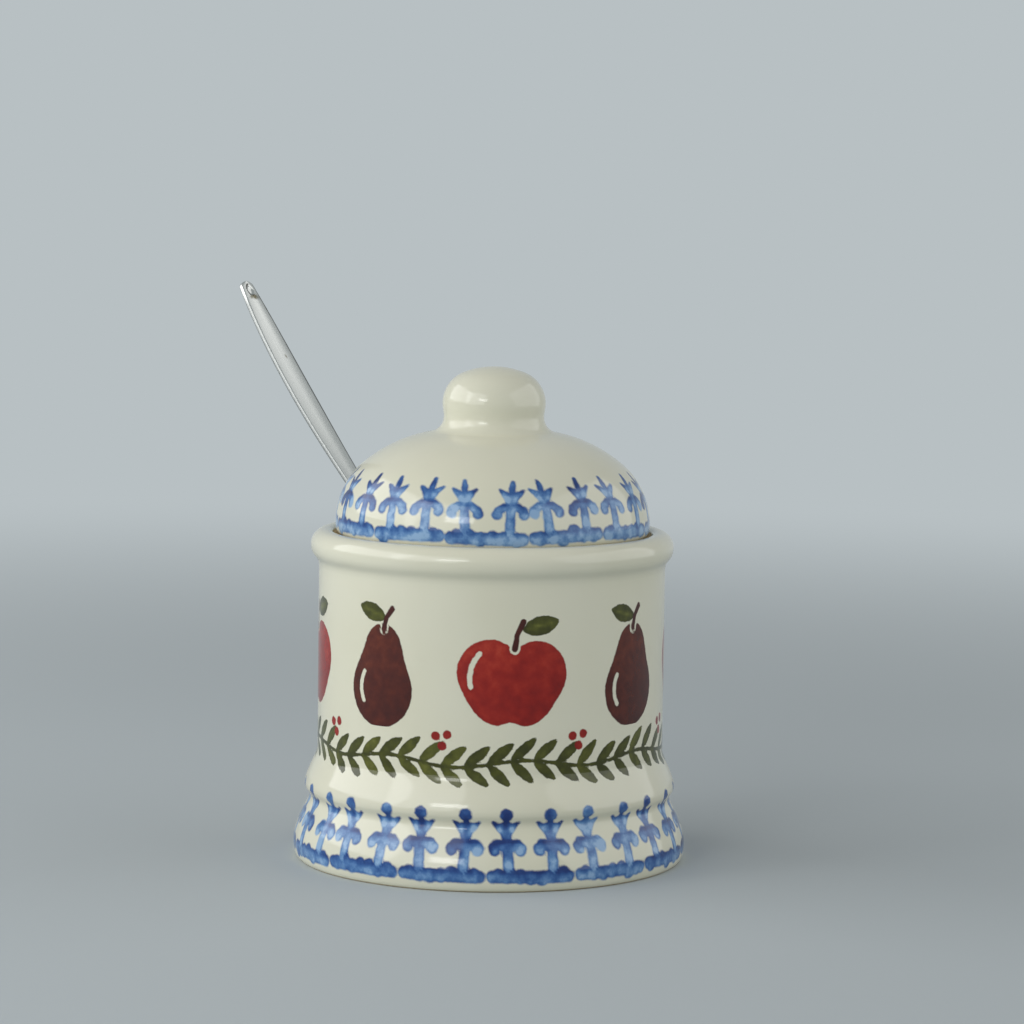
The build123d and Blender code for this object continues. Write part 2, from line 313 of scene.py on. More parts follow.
def pot_outline():
    """The whole outline of the pot, from the middle of its underside round to the middle of its floor."""
    ring_inside = FOOT_RADIUS - FOOT_RING_WIDTH
    underside = joined(
        line((0, FOOT_RING_DEPTH), (ring_inside, FOOT_RING_DEPTH), BROAD),
        line((ring_inside, FOOT_RING_DEPTH), (ring_inside, FOOT_RING_ROUND), FOOT_RING_ROUND),
        arc((ring_inside + FOOT_RING_ROUND, FOOT_RING_ROUND), FOOT_RING_ROUND, 180, 270, FOOT_RING_ROUND / 2),
        line((ring_inside + FOOT_RING_ROUND, 0), (FOOT_RADIUS, 0), COARSE),
    )
    crest_radius = RIM_RADIUS - RIM_ROLL
    lip_level = (crest_radius - LIP_LEVEL * (crest_radius - GALLERY_RADIUS), CREST_Z)
    lip_upright = (GALLERY_RADIUS, SEAT_Z + LIP_UPRIGHT * (CREST_Z - SEAT_Z))
    gallery = joined(
        curve((crest_radius, CREST_Z), lip_level, lip_upright, (GALLERY_RADIUS, SEAT_Z), FINE),
        line((GALLERY_RADIUS, SEAT_Z), (MOUTH_RADIUS + MOUTH_ROUND, SEAT_Z), COARSE),
        arc((MOUTH_RADIUS + MOUTH_ROUND, SEAT_Z - MOUTH_ROUND), MOUTH_ROUND, 90, 180, MOUTH_ROUND / 2),
        line((MOUTH_RADIUS, SEAT_Z - MOUTH_ROUND), (MOUTH_RADIUS, MOUTH_LOW_Z), COARSE),
        line((MOUTH_RADIUS, MOUTH_LOW_Z), (INNER_RADIUS, INNER_TOP_Z), COARSE),
    )
    inside = joined(
        line((INNER_RADIUS, INNER_TOP_Z), (INNER_RADIUS, FLOOR_Z + FLOOR_CORNER), BROAD),
        arc((INNER_RADIUS - FLOOR_CORNER, FLOOR_Z + FLOOR_CORNER), FLOOR_CORNER, 0, -90, COARSE),
        line((INNER_RADIUS - FLOOR_CORNER, FLOOR_Z), (0, FLOOR_Z), BROAD),
    )
    return joined(underside, pot_side(), gallery, inside)


# Centres of the lid's two arcs: the shoulder runs into the flatter dome, and that into the neck of the knob.
SHOULDER_CENTRE = (LID_RADIUS - SHOULDER_RADIUS, LID_EDGE_Z)
DOME_CENTRE = (
    SHOULDER_CENTRE[0] + (SHOULDER_RADIUS - DOME_RADIUS) * cos(radians(SHOULDER_TURN)),
    SHOULDER_CENTRE[1] + (SHOULDER_RADIUS - DOME_RADIUS) * sin(radians(SHOULDER_TURN)),
)
DOME_END = degrees(acos((NECK_RADIUS + NECK_FILLET - DOME_CENTRE[0]) / (DOME_RADIUS + NECK_FILLET)))
NECK_Z = DOME_CENTRE[1] + (DOME_RADIUS + NECK_FILLET) * sin(radians(DOME_END))
KNOB_Z = NECK_Z + KNOB_RISE
KNOB_TURN = degrees(acos((KNOB_RADIUS - KNOB_ROUND) / (KNOB_CROWN - KNOB_ROUND)))
CROWN_Z = KNOB_Z - (KNOB_CROWN - KNOB_ROUND) * sin(radians(KNOB_TURN))
KNOB_TOP_Z = CROWN_Z + KNOB_CROWN


def lid_side():
    """The outside of the lid, from the seat up to the top of the knob."""
    border_turn = degrees(acos((DOME_RADIUS**2 - (BORDER_TOP_Z - DOME_CENTRE[1]) ** 2) ** 0.5 / DOME_RADIUS))
    neck_centre = (NECK_RADIUS + NECK_FILLET, NECK_Z)
    edge_rise = LID_EDGE_Z - SEAT_Z
    edge_low = (LID_RADIUS, SEAT_Z + LID_EDGE_LOW * edge_rise)
    edge_high = (LID_RADIUS, LID_EDGE_Z - LID_EDGE_HIGH * edge_rise)
    upright = KNOB_UPRIGHT * KNOB_RISE
    knob_low = (NECK_RADIUS, NECK_Z + upright)
    knob_high = (KNOB_RADIUS, KNOB_Z - upright)
    return joined(
        curve((SEAT_RADIUS, SEAT_Z), edge_low, edge_high, (LID_RADIUS, LID_EDGE_Z), FINE),
        arc(SHOULDER_CENTRE, SHOULDER_RADIUS, 0, SHOULDER_TURN, FINE),
        arc(DOME_CENTRE, DOME_RADIUS, SHOULDER_TURN, border_turn, FINE),
        arc(DOME_CENTRE, DOME_RADIUS, border_turn, DOME_END, COARSE),
        arc(neck_centre, NECK_FILLET, 180 + DOME_END, 180, MIDDLE),
        curve((NECK_RADIUS, NECK_Z), knob_low, knob_high, (KNOB_RADIUS, KNOB_Z), MIDDLE),
        arc((KNOB_RADIUS - KNOB_ROUND, KNOB_Z), KNOB_ROUND, 0, KNOB_TURN, MIDDLE),
        arc((0, CROWN_Z), KNOB_CROWN, KNOB_TURN, 90, COARSE),
    )


def lid_outline():
    """The whole outline of the lid, from the top of the hollow in its knob round to the top of the knob."""
    hollow_shoulder = SHOULDER_RADIUS - LID_WALL
    bore_turn = degrees(acos((FLANGE_BORE - SHOULDER_CENTRE[0]) / hollow_shoulder))
    bore_top_z = SHOULDER_CENTRE[1] + hollow_shoulder * sin(radians(bore_turn))
    ceiling_z = DOME_CENTRE[1] + DOME_RADIUS - LID_WALL
    pit_radius = KNOB_RADIUS - KNOB_WALL
    pit_z = KNOB_TOP_Z - KNOB_WALL - pit_radius
    flange_low = FLANGE_LOW_Z + FLANGE_ROUND
    bore_round = (FLANGE_BORE + FLANGE_ROUND, flange_low)
    side_round = (FLANGE_RADIUS - FLANGE_ROUND, flange_low)
    inside = joined(
        arc((0, pit_z), pit_radius, 90, 0, COARSE),
        line((pit_radius, pit_z), (pit_radius, ceiling_z), COARSE),
        line((pit_radius, ceiling_z), (DOME_CENTRE[0], ceiling_z), COARSE),
        arc(DOME_CENTRE, DOME_RADIUS - LID_WALL, 90, SHOULDER_TURN, COARSE),
        arc(SHOULDER_CENTRE, hollow_shoulder, SHOULDER_TURN, bore_turn, COARSE),
    )
    flange = joined(
        line((FLANGE_BORE, bore_top_z), (FLANGE_BORE, flange_low), COARSE),
        arc(bore_round, FLANGE_ROUND, 180, 270, FLANGE_ROUND / 2),
        line((bore_round[0], FLANGE_LOW_Z), (side_round[0], FLANGE_LOW_Z), COARSE),
        arc(side_round, FLANGE_ROUND, 270, 360, FLANGE_ROUND / 2),
        line((FLANGE_RADIUS, flange_low), (FLANGE_RADIUS, SEAT_Z), COARSE),
        line((FLANGE_RADIUS, SEAT_Z), (SEAT_RADIUS, SEAT_Z), COARSE),
    )
    return joined(inside, flange, lid_side())


# Meshes


def make_object(name, shape):
    """A smooth object of that name from a bmesh, in the scene."""
    mesh = bpy.data.meshes.new(name)
    shape.to_mesh(mesh)
    shape.free()
    mesh.shade_smooth()
    piece = bpy.data.objects.new(name, mesh)
    bpy.context.scene.collection.objects.link(piece)
    return piece


def make_real(piece):
    """Puts what a piece's modifiers give into its own mesh."""
    scene_state = bpy.context.evaluated_depsgraph_get()
    mesh = bpy.data.meshes.new_from_object(piece.evaluated_get(scene_state))
    piece.modifiers.clear()
    piece.data = mesh


def turn_on_wheel(name, outline, steps):
    """A closed turned piece from an outline of (radius, height) points that starts and ends on the axis."""
    shape = bmesh.new()
    points = [shape.verts.new((radius * MM, 0, height * MM)) for radius, height in outline]
    for pair in zip(points, points[1:]):
        shape.edges.new(pair)
    piece = make_object(name, shape)
    wheel = piece.modifiers.new("wheel", "SCREW")
    wheel.steps = steps
    wheel.render_steps = steps
    wheel.use_merge_vertices = True
    wheel.merge_threshold = MERGE
    wheel.use_normal_calculate = True
    make_real(piece)
    piece.data.shade_smooth()
    return piece


def vertex_places(piece):
    """Every vertex of a piece, as rows of x, y and z in millimetres."""
    places = np.zeros(3 * len(piece.data.vertices))
    piece.data.vertices.foreach_get("co", places)
    return places.reshape(-1, 3) / MM


def store(piece, name, values):
    """Keeps one number for each vertex of a piece, for its finish to read."""
    attribute = piece.data.attributes.new(name, "FLOAT", "POINT")
    attribute.data.foreach_set("value", np.asarray(values, dtype=np.float32))


# Brush strokes: each gives how far points lie outside a shape drawn flat, which is less than 0 inside it.


def disc(u, v, centre, radius):
    """A round dab."""
    return np.hypot(u - centre[0], v - centre[1]) - radius


def nearest_on_line(u, v, first, last):
    """The share of the way along a straight line that lies nearest to each point, and how far off it is."""
    run = (last[0] - first[0], last[1] - first[1])
    along = ((u - first[0]) * run[0] + (v - first[1]) * run[1]) / (run[0] ** 2 + run[1] ** 2)
    along = np.clip(along, 0, 1)
    return along, np.hypot(u - first[0] - along * run[0], v - first[1] - along * run[1])


def stroke(u, v, first, last, first_half, last_half):
    """A stroke with round ends that tapers from one half-width to another."""
    along, off = nearest_on_line(u, v, first, last)
    return off - first_half - along * (last_half - first_half)


def bow(u, v, centre, radius, start, end, half_width):
    """A stroke with round ends along part of a circle, between two angles in degrees."""
    middle = (start + end) / 2
    turn = np.degrees(np.arctan2(v - centre[1], u - centre[0]))
    off_middle = (turn - middle + 180) % 360 - 180
    nearest = np.radians(middle + np.clip(off_middle, (start - end) / 2, (end - start) / 2))
    across = u - centre[0] - radius * np.cos(nearest)
    up = v - centre[1] - radius * np.sin(nearest)
    return np.hypot(across, up) - half_width


def leaf(u, v, first, last, half_width):
    """A leaf between two points: where two discs overlap, with its points rounded as a brush leaves them."""
    run = (last[0] - first[0], last[1] - first[1])
    length = hypot(*run)
    from_middle = np.abs((u - first[0]) * run[0] + (v - first[1]) * run[1] - length**2 / 2) / length
    across = np.abs((v - first[1]) * run[0] - (u - first[0]) * run[1]) / length
    sharp_half = half_width - LEAF_ROUND
    radius = (length**2 / 4 + sharp_half**2) / (2 * sharp_half)
    offset = radius - sharp_half
    past_point = from_middle - length / 2
    to_point = np.hypot(past_point, across)
    to_side = np.hypot(from_middle, across + offset) - radius
    return np.where(past_point * offset > across * length / 2, to_point, to_side) - LEAF_ROUND


def patch(u, v, corners):
    """A patch with straight sides between its corners."""
    nearest = np.full(u.shape, np.inf)
    inside = np.zeros(u.shape, bool)
    for first, last in zip(corners, corners[1:] + corners[:1]):
        nearest = np.minimum(nearest, nearest_on_line(u, v, first, last)[1])
        crosses = (first[1] > v) != (last[1] > v)
        rise = last[1] - first[1]
        if rise:
            inside ^= crosses & (u < first[0] + (v - first[1]) * (last[0] - first[0]) / rise)
    return np.where(inside, -nearest, nearest)


def both_sides(right):
    """The corners of a patch that is alike on both sides, from those of its right half, going up."""
    return right + [(-u, v) for u, v in reversed(right)]


def merged(*shapes):
    """Shapes laid over each other."""
    return np.minimum.reduce(shapes)


def melted(first, second, reach):
    """Two shapes run together, with the corner between them filled over that reach."""
    share = np.clip(0.5 + (second - first) / (2 * reach), 0, 1)
    return second + (first - second) * share - reach * share * (1 - share)


def without(shape, hole):
    """A shape with another left out of it."""
    return np.maximum(shape, -hole)


def dipped(shape, hole, reach):
    """A shape with a dip taken out of it, and the corners of the dip rounded over that reach."""
    return -melted(-shape, hole, reach)


def glow(u, v, centre, reach):
    """1 at a place, fading to 0 over about that reach along u and v."""
    return np.exp(-(((u - centre[0]) / reach[0]) ** 2) - ((v - centre[1]) / reach[1]) ** 2)


class Paint:
    """One colour on a piece: how far each vertex lies outside the nearest stroke, and how thick that is."""

    FAR = 6.0

    def __init__(self, surface):
        self.distance = np.full(surface.count, self.FAR)
        self.strength = np.zeros(surface.count)

    def lay(self, rows, distance, strength):
        """Lays a stroke on the vertices that it comes nearer to than the strokes before it."""
        closer = distance < self.distance[rows]
        chosen = rows[closer]
        self.distance[chosen] = distance[closer]
        self.strength[chosen] = np.broadcast_to(strength, distance.shape)[closer]

    def keep(self, piece, name):
        """Stores the colour on its piece."""
        store(piece, name, self.distance)
        store(piece, name + "_strength", self.strength)


class Surface:
    """The outside of a turned piece, rolled out flat: angle round it, and length up it from the foot."""

    SKIN = 0.6

    def __init__(self, piece, side):
        radii, heights = np.array(side).T
        lengths = np.concatenate([[0], np.cumsum(np.hypot(np.diff(radii), np.diff(heights)))])
        places = vertex_places(piece)
        self.count = len(places)
        self.heights = heights
        self.lengths = lengths
        self.radius = np.hypot(places[:, 0], places[:, 1])
        self.height = places[:, 2]
        self.angle = np.degrees(np.arctan2(places[:, 0], -places[:, 1]))
        self.length = np.interp(self.height, heights, lengths)
        self.outside = self.radius > np.interp(self.height, heights, radii) - self.SKIN

    def length_at(self, height):
        """The length up the side at a height."""
        return np.interp(height, self.heights, self.lengths)

    def around(self, angle, height, half_width, low, high, tilt=0.0):
        """The vertices near a place, and their flat offsets from it to the right and up."""
        turn = (self.angle - angle + 180) % 360 - 180
        u = np.radians(turn) * self.radius
        v = self.length - self.length_at(height)
        rows = np.flatnonzero(self.outside & (np.abs(u) < half_width) & (v > low) & (v < high))
        lean = radians(tilt)
        return rows, u[rows] * cos(lean) + v[rows] * sin(lean), v[rows] * cos(lean) - u[rows] * sin(lean)


# Sponged blue borders: a cut sponge carries two fleurs on one foot line, and is pressed on all the way round.

FOOT_LINE_HALF = 1.35
SCALLOP = 3.1
SCALLOP_RADIUS = 1.6
CUP_ROUND = 0.2
SPONGE_SPREAD = 0.22

# How far past its foot line a stamp reaches at its ends, and down and up from that line
STAMP_PAST = 3
STAMP_LOW = -4
STAMP_HIGH = 18

# How stamps pressed on by hand differ: tilt in degrees, lift and shift, lean and slant of a fleur, and tones
STAMP_TILT = 1.2
STAMP_LIFT = 0.12
STAMP_TONES = (0.72, 1.25)
SCALLOP_LIFT = (0.05, 0.42)
FLEUR_SHIFT = 0.15
FLEUR_LEAN = 0.02
FLEUR_SLANT = 0.05
FLEUR_TONES = (0.75, 1.25)

# The tone of a fleur, and how much thicker a foot line is above a height than below it
FLEUR_TONE = 0.4
LINE_SHADE = 0.24
LINE_SHADE_Z = 0.6
LINE_SHADE_STEEPNESS = 2

# A fleur is drawn to the right of its middle and up from the foot line, and is alike on both sides. Strokes
# have two ends and a half-width at each, and tones a change of thickness, a place and its reach both ways.
# The base's fleur: a broad stem, two plump volutes, a cup drawn out to a point at each side, and a ball
BASE_FLEUR = {
    "strokes": (
        ((0, 0), (0, 6.2), 1.2, 1.05),
        ((0, 7.3), (2.3, 7.5), 1.25, 1.25),
        ((2.3, 7.5), (3.2, 6.7), 1.2, 1.15),
        ((0, 12.3), (0, 13.8), 0.6, 0.5),
    ),
    "discs": (((3.05, 6.15), 1.15), ((0, 15.0), 1.4)),
    "cup": both_sides([(0.6, 8.4), (1.05, 10.1), (3.0, 13.0), (1.75, 12.3), (0.5, 12.6)]),
    "tones": (
        (0.55, (1.8, 8.3), (2.2, 0.6)),
        (0.5, (2.8, 12.8), (0.9, 0.6)),
        (0.45, (0, 12.6), (0.9, 1.2)),
        (0.3, (0, 15.0), (1.6, 1.6)),
        (-0.45, (1.5, 11.1), (0.8, 1.1)),
        (-0.25, (2.9, 6.0), (1.0, 0.8)),
        (-0.3, (0, 3.0), (1.4, 1.6)),
    ),
}

# The lid's fleur: a stem, two drooping volutes, a cup drawn out to a point at each side, and a bud
LID_FLEUR = {
    "strokes": (
        ((0, 0.5), (0, 7.6), 1.05, 0.9),
        ((0, 7.5), (1.6, 7.6), 0.85, 0.8),
        ((1.6, 7.6), (3.0, 6.5), 0.8, 0.95),
        ((0, 10.8), (0, 12.4), 0.5, 0.65),
        ((0, 12.4), (0, 14.2), 0.65, 0.35),
    ),
    "discs": (((3.15, 5.8), 1.1),),
    "cup": both_sides([(0.7, 8.0), (1.2, 9.4), (2.8, 11.9), (1.6, 11.3), (0.5, 10.9)]),
    "tones": (
        (0.55, (1.3, 8.1), (1.4, 0.6)),
        (0.5, (0, 12.8), (1.1, 1.9)),
        (0.45, (2.5, 11.6), (0.8, 0.6)),
        (-0.45, (0.9, 9.5), (0.8, 0.8)),
        (-0.2, (3.2, 5.5), (1.0, 0.9)),
        (-0.3, (0, 3.2), (1.3, 1.8)),
    ),
}

# How a border lies: stamps round it, degrees from the view to its first gap, its foot line's height, the gap
# between two foot lines, and their tone
BASE_BORDER = dict(stamps=14, first_gap=-0.7, height=3.8, gap=0.6, line_tone=0.6, design=BASE_FLEUR, seed=5)
LID_BORDER = dict(stamps=12, first_gap=-17.1, height=81.85, gap=0.3, line_tone=0.42, design=LID_FLEUR, seed=9)


def fleur(u, v, design):
    """The shape of a fleur, and how thick its colour is."""
    side = np.abs(u)
    shapes = [stroke(side, v, *each) for each in design["strokes"]]
    shapes += [disc(side, v, *each) for each in design["discs"]]
    shapes.append(patch(u, v, design["cup"]) - CUP_ROUND)
    thick = FLEUR_TONE
    for tone, place, reach in design["tones"]:
        thick = thick + tone * glow(side, v, place, reach)
    return merged(*shapes), thick


def foot_line(u, v, half_length, gap, bumps):
    """The scalloped line under a pair of fleurs."""
    end = half_length - FOOT_LINE_HALF - gap / 2
    shape = stroke(u, v, (-end, 0), (end, 0), FOOT_LINE_HALF, FOOT_LINE_HALF)
    for place, lift in bumps:
        shape = np.minimum(shape, disc(u, v, (place * end, lift), SCALLOP_RADIUS))
    return shape


def sponge_border(surface, stamps, first_gap, height, gap, line_tone, design, seed):
    """A border of stamps, each pressed on by hand, so that none is quite level or as thick as the next."""
    chance = np.random.default_rng(seed)
    paint = Paint(surface)
    pitch = 360 / stamps
    half_length = radians(pitch / 2) * surface.radius[surface.outside].max()
    count = round(2 * half_length / SCALLOP)
    for stamp in range(stamps):
        centre = VIEW_TURN + first_gap + pitch * (stamp + 0.5)
        tilt = chance.normal(0, STAMP_TILT)
        strength = chance.uniform(*STAMP_TONES)
        lift = chance.normal(0, STAMP_LIFT)
        rows, u, v = surface.around(centre, height, half_length + STAMP_PAST, STAMP_LOW, STAMP_HIGH, tilt)
        up = v - lift
        bumps = [(2 * (k + 0.5) / count - 1, chance.normal(*SCALLOP_LIFT)) for k in range(count)]
        line_shape = foot_line(u, up, half_length, gap, bumps)
        shade = LINE_SHADE * np.tanh(LINE_SHADE_STEEPNESS * (up - LINE_SHADE_Z))
        paint.lay(rows, line_shape - SPONGE_SPREAD, strength * (line_tone + shade))
        for side in (-1, 1):
            offset = side * half_length / 2 + chance.normal(0, FLEUR_SHIFT)
            lean = chance.normal(0, FLEUR_LEAN)
            slant = chance.normal(0, FLEUR_SLANT)
            across = u - offset - lean * v
            shape, thick = fleur(across, up, design)
            tone = thick * chance.uniform(*FLEUR_TONES) + slant * across
            paint.lay(rows, shape - SPONGE_SPREAD, strength * tone)
    return paint


# Painted band: apples and pears in turn over a running garland of leaves with berries.

FRUIT_SEED = 41
FRUIT_COUNT = 8
FRUIT_TURN = 7.0
FRUIT_Z = 50.0
FRUIT_TILT = 1.5
BERRIES = ((-1.5, 0.9), (1.3, 1.3), (0.1, -1.4))
BERRY_RADIUS = 1.1
BERRY_RISE = 5.4
GARLAND_Z = 29.3
GARLAND_LEAVES = 48
GARLAND_SWAY = 0.9
GARLAND_TILT = 2
GARLAND_STEM_HALF = 0.45
LEAF_ROUND = 0.3
LEAF_START = (-0.4, 0.2)
LEAF_REACH = (4.7, 5.5)
LEAF_SPREAD = (4.5, 5.3)
LEAF_HALF = 1.3
LOWER_LEAF_SHORTER = 0.3
LOWER_LEAF_HALF = 1.25

# How far each motif reaches: to each side, and down and up from its place
FRUIT_WINDOW = (16, -14, 17)
BERRY_WINDOW = (5, -5, 5)
LEAF_WINDOW = (9, -9, 9)

# Tones of the band. A fruit deepens downwards and to its right, each by so much over a length.
FRUIT_TONE = 0.62
DEEPER_DOWN = (0.18, 6)
DEEPER_RIGHT = (0.1, 5)
STEM_TONE = 0.9
STEM_GAP = 0.55
BLADE_TONE = 0.75
RIB_PALER = 0.5
RIB_HALF = 0.45
BERRY_TONE = 0.7
LEAF_TONES = (0.45, 0.85)
LOWER_LEAF_TONES = (0.85, 1.1)
GARLAND_STEM_TONE = 0.8


def apple(u, v):
    """An apple's body, stem and leaf, and the rib of the leaf."""
    side = np.abs(u)
    body = melted(disc(side, v, (5.2, 0.6), 7.9), disc(side, v, (3.3, -5.0), 6.4), 3.0)
    body = melted(body, disc(u, v, (0, -3), 8.5), 2.0)
    body = dipped(body, disc(u, v, (0.3, 11.6), 3.9), 1.6)
    body = dipped(body, disc(u, v, (0, -13.8), 2.9), 1.2)
    shine = bow(u, v, (-1.6, -0.6), 8.4, 138, 196, 0.6)
    stem_low = stroke(u, v, (0.2, 6.4), (0.7, 10), 0.75, 0.6)
    stem = merged(stem_low, stroke(u, v, (0.7, 10), (2.0, 12.8), 0.6, 0.75))
    blade = leaf(u, v, (2.0, 10.9), (10.4, 13.2), 2.3)
    rib = stroke(u, v, (3.2, 11.3), (8.6, 12.7), 0, 0)
    return without(without(body, shine), stem - STEM_GAP), stem, blade, rib


def pear(u, v):
    """A pear's body, stem and leaf, and the rib of the leaf."""
    body = melted(disc(u, v, (0, -4.6), 9.0), disc(u, v, (0.5, 6.4), 4.6), 7.0)
    shine = bow(u, v, (0.6, -4.4), 6.6, 148, 212, 0.55)
    stem_low = stroke(u, v, (0.6, 9.6), (1.2, 12.4), 0.7, 0.6)
    stem = merged(stem_low, stroke(u, v, (1.2, 12.4), (2.9, 14.8), 0.6, 0.75))
    blade = leaf(u, v, (0.9, 12.4), (-6.8, 14.6), 2.1)
    rib = stroke(u, v, (-0.2, 12.8), (-5.2, 14.1), 0, 0)
    return without(without(body, shine), stem - STEM_GAP), stem, blade, rib


def fruit_band(surface):
    """The painted band on the wall, as its brick, russet and olive colours."""
    chance = np.random.default_rng(FRUIT_SEED)
    brick, russet, olive = Paint(surface), Paint(surface), Paint(surface)
    pitch = 360 / FRUIT_COUNT
    for index in range(FRUIT_COUNT):
        angle = VIEW_TURN + FRUIT_TURN + pitch * index
        rows, u, v = surface.around(angle, FRUIT_Z, *FRUIT_WINDOW, chance.normal(0, FRUIT_TILT))
        fruit, colour = (apple, brick) if index % 2 == 0 else (pear, russet)
        body, stem, blade, rib = fruit(u, v)
        down = DEEPER_DOWN[0] * np.tanh(-v / DEEPER_DOWN[1])
        right = DEEPER_RIGHT[0] * np.tanh(u / DEEPER_RIGHT[1])
        colour.lay(rows, body, FRUIT_TONE + down + right)
        russet.lay(rows, stem, STEM_TONE)
        olive.lay(rows, blade, BLADE_TONE - RIB_PALER * np.exp(-((rib / RIB_HALF) ** 2)))
        rows, u, v = surface.around(angle + pitch / 2, GARLAND_Z + BERRY_RISE, *BERRY_WINDOW)
        for place in BERRIES:
            brick.lay(rows, disc(u, v, place, BERRY_RADIUS), BERRY_TONE)
    lower_start = (LEAF_START[0], -LEAF_START[1])
    for index in range(GARLAND_LEAVES):
        angle = VIEW_TURN + 360 / GARLAND_LEAVES * index
        sway = GARLAND_SWAY * sin(2 * pi * index * FRUIT_COUNT / GARLAND_LEAVES)
        rows, u, v = surface.around(angle, GARLAND_Z, *LEAF_WINDOW, chance.normal(0, GARLAND_TILT))
        v = v - sway
        reach = chance.uniform(*LEAF_REACH)
        spread = chance.uniform(*LEAF_SPREAD)
        tone = chance.uniform(*LEAF_TONES)
        olive.lay(rows, leaf(u, v, LEAF_START, (reach, spread), LEAF_HALF), tone)
        lower_end = (reach - LOWER_LEAF_SHORTER, LOWER_LEAF_SHORTER - spread)
        lower_tone = tone * chance.uniform(*LOWER_LEAF_TONES)
        olive.lay(rows, leaf(u, v, lower_start, lower_end, LOWER_LEAF_HALF), lower_tone)
    rows, u, v = surface.around(VIEW_TURN, GARLAND_Z, pi * BASE_RADIUS, *LEAF_WINDOW[1:])
    sway = GARLAND_SWAY * np.sin(FRUIT_COUNT * u / surface.radius[rows])
    olive.lay(rows, np.abs(v - sway) - GARLAND_STEM_HALF, GARLAND_STEM_TONE)
    return brick, russet, olive


# Finishes


def linear(code):
    """An sRGB hex colour as linear red, green, blue and alpha."""
    parts = [int(code[place : place + 2], 16) / 255 for place in (1, 3, 5)]
    shares = [part / 12.92 if part <= 0.04045 else ((part + 0.055) / 1.055) ** 2.4 for part in parts]
    return (*shares, 1.0)


def per_metre(size):
    """The texture scale that repeats every so many millimetres."""
    return 1 / (size * MM)


def add(tree, kind, settings, inputs):
    """Adds a shader node with its own settings, and inputs set to values or linked, and gives its outputs."""
    node = tree.nodes.new("ShaderNode" + kind)
    for name, value in settings.items():
        setattr(node, name, value)
    for name, value in inputs.items():
        if isinstance(value, bpy.types.NodeSocket):
            tree.links.new(value, node.inputs[name])
        else:
            node.inputs[name].default_value = value
    return node.outputs


def new_material(name):
    """A material with an empty node tree."""
    material = bpy.data.materials.new(name)
    material.use_nodes = True
    material.node_tree.nodes.clear()
    return material, material.node_tree


# Underglaze colours: a thin wash, how much a thick one deepens it, how soft its edge is and how ragged
COBALT = ("cobalt", "#8FB0D3", 3.3, 0.32, 0.55)
BRICK = ("brick", "#B43C26", 1.0, 0.16, 0.5)
RUSSET = ("russet", "#6E2F15", 0.65, 0.16, 0.4)
OLIVE = ("olive", "#70732F", 0.85, 0.14, 0.6)
CREAM_LIGHT = "#E2E1CF"
CREAM_DEEP = "#D7D5BD"
# Buff of bare clay, which also stands as painted shade in the lid's seam and at the foot, and its specks
BUFF_AND_SHADE = "#CBB894"
BUFF_SPECK = "#B39B74"
STEEL = "#C2C2BE"
# Painted shade on the front of the spoon
PAINTED_SHADE_STEEL = "#3A3835"
# The sheared sides' steel, darker as painted shade
SHEARED_SHADED_STEEL = "#9A9C9A"
TARNISH = "#69634F"
BACKDROP = "#B8C0C3"

# How much the thickness of a colour varies within a stroke, and how it gathers near the edge of one
MOTTLE = 1.3
GATHERED = {"From Min": -0.9, "From Max": 0.0, "To Min": -0.08, "To Max": 0.06}

# What varies over glazed pieces, by its size and finer detail: the cream, the ragged edges of strokes, the
# mottle in them, the grain of bare clay, and the runs of the glaze. Real grain is too fine to show, so it is
# drawn coarser. Then where that grain turns to specks
CREAM_CLOUDS = (28, 2.0)
SPONGE_HOLES = (1.3, 3.0)
STROKE_MOTTLE = (2.6, 4.0)
CLAY_GRAIN = (0.8, 3.0)
GLAZE_RUNS = (17, 1.0)
SPECKS = {"From Min": 0.35, "From Max": 0.75}

# Roughness from glaze to bare clay, and how the runs of the glaze lift it
GLAZE_IOR = 1.5
GLAZE_TO_CLAY = {"To Min": 0.1, "To Max": 0.75}
RIPPLE_STRENGTH = 0.5
RIPPLE_HEIGHT = 0.35

# Sizes on the steel, with their finer detail: brushed streaks, drawn wider than real ones to show, and stains
STREAK_LENGTH = 17.0
STREAK_WIDTH = 0.45
STREAK_DETAIL = 3.0
STAIN_SIZE = 1.6
STAIN_DETAIL = 4.0

# Where stains and painted shade start and are full, roughness across the streaks, and that of sheared steel
STAINED = {"From Min": 0.1, "From Max": 0.5}
PAINTED_SHADE_SPAN = {"From Min": 0.74, "From Max": 0.92, "To Max": 0.92}
STREAKED = {"To Min": 0.14, "To Max": 0.27}
SHEARED_ROUGHNESS = 0.42

# Settings that several nodes share
COLOURS = {"data_type": "RGBA"}
SMOOTH = {"interpolation_type": "SMOOTHSTEP"}
SCALED_SUM = {"operation": "MULTIPLY_ADD"}


